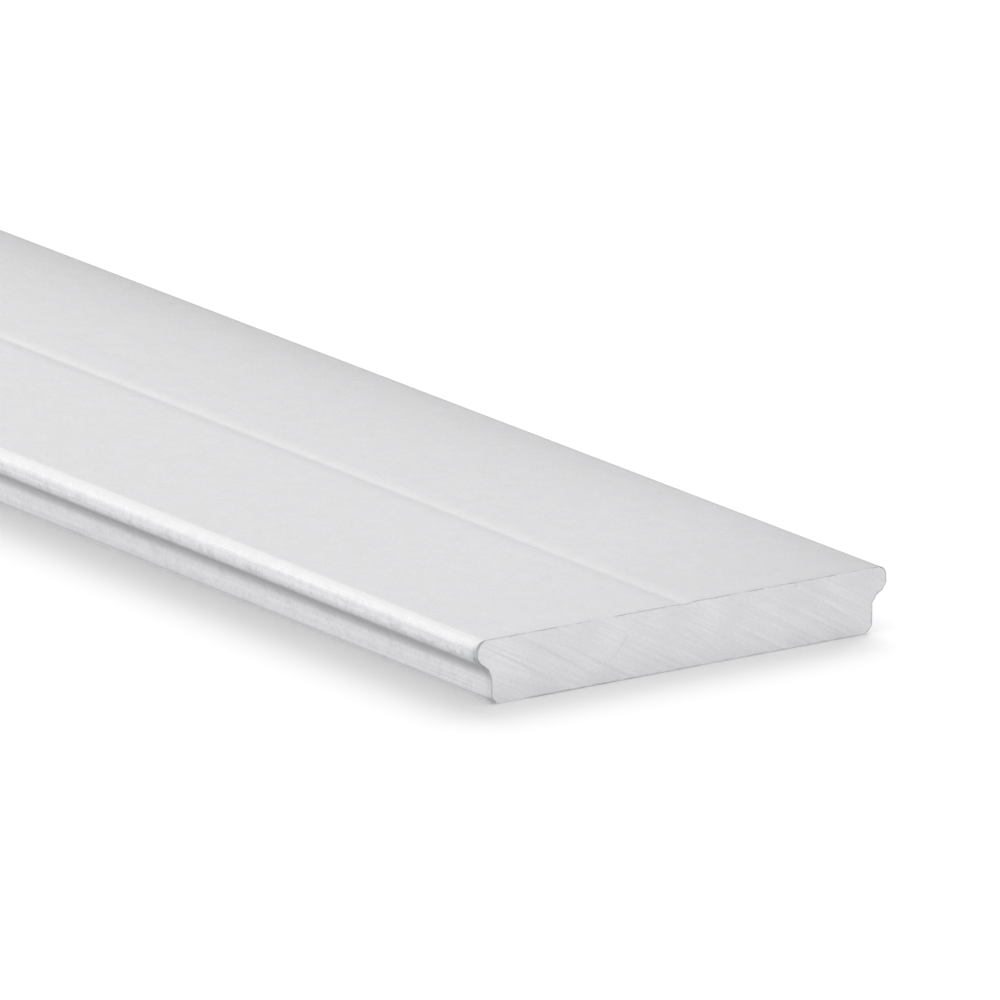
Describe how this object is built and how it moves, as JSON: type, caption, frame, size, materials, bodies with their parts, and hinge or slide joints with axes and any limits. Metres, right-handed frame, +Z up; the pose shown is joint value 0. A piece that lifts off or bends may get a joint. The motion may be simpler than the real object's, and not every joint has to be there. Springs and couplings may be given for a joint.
{
  "type": "aluminium extrusion profile",
  "caption": "Flat aluminium extrusion bar with rounded, undercut long edges, a shallow marking groove along the top and square-sawn ends; stock for trims, rails and mounting strips.",
  "frame": {"origin": "centre of the flat underside, midway between the two sawn ends", "axes": "+X along the bar towards the sawn end that the picture shows, +Y across the bar, +Z up out of the grooved top face"},
  "size_m": [1, 0.03, 0.0041],
  "materials": {
    "anodised_aluminium": "matt natural anodised, with bare saw-cut ends"
  },
  "bodies": {
    "root": {"profile_bar": "anodised_aluminium"}
  },
  "joints": []
}
